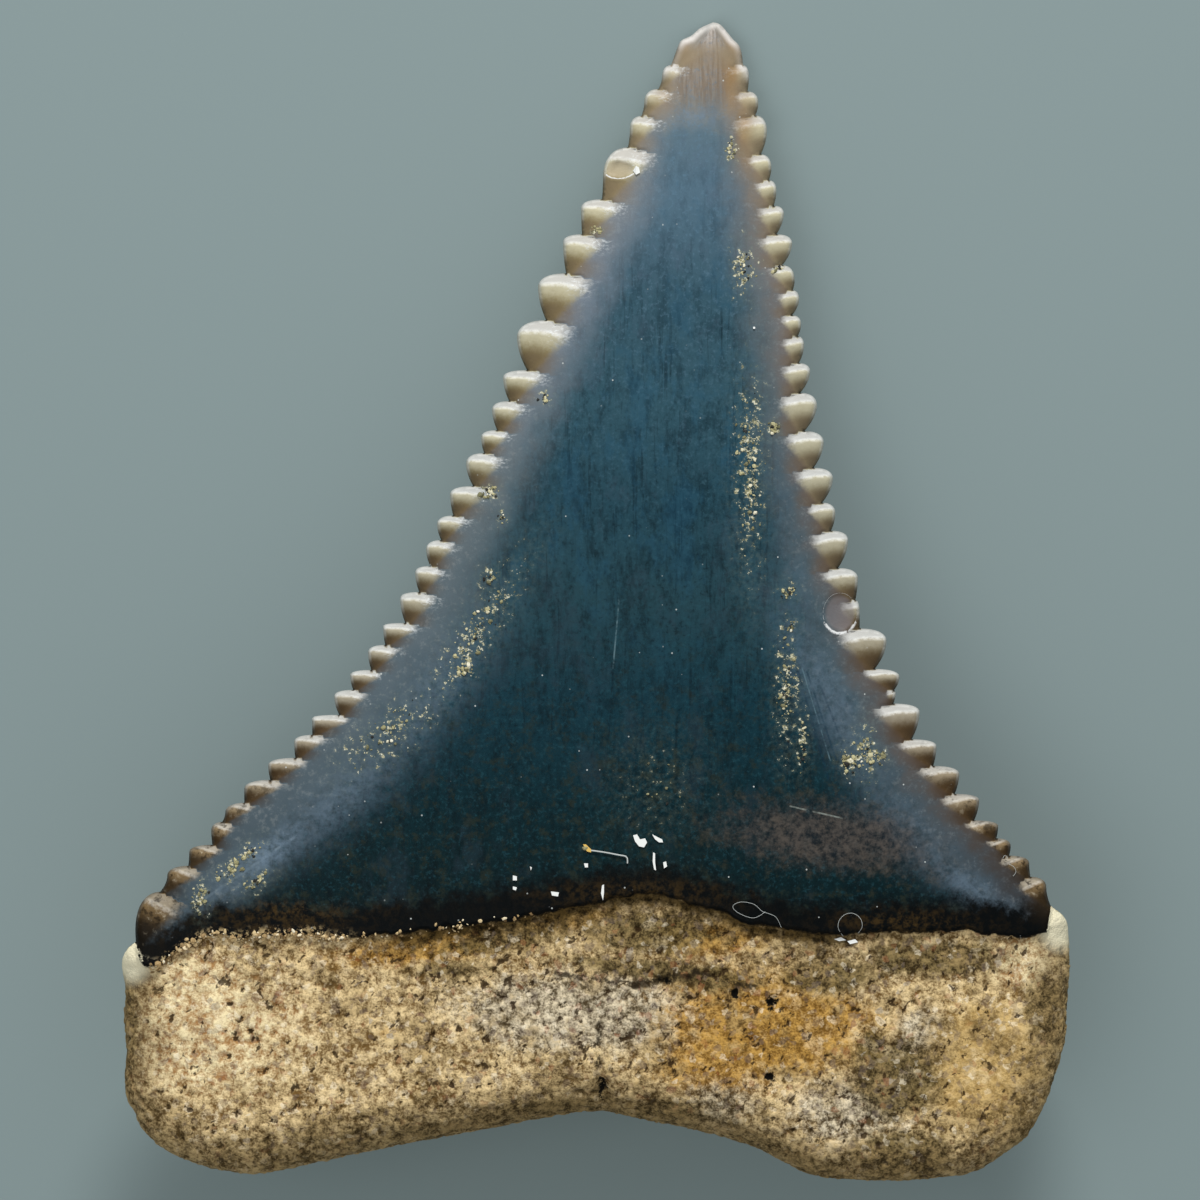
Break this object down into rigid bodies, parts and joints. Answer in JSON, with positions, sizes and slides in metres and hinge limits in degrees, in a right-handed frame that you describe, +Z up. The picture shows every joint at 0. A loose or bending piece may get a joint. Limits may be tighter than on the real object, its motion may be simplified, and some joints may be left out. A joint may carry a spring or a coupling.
{
  "type": "fossil great white shark tooth",
  "caption": "Broad triangular fossil shark tooth with a serrated blue-grey crown and a granular sandy two-lobed root, lying on its back.",
  "frame": {"origin": "on the surface the tooth lies on, under the middle of its bounding box", "axes": "+Y from the root towards the tip, +X across the width with the flat lip-side face up, +Z up"},
  "size_m": [0.0294, 0.0358, 0.0076],
  "materials": {
    "tooth_surface": "satin"
  },
  "bodies": {
    "root": {"tooth": "tooth_surface"}
  },
  "joints": []
}
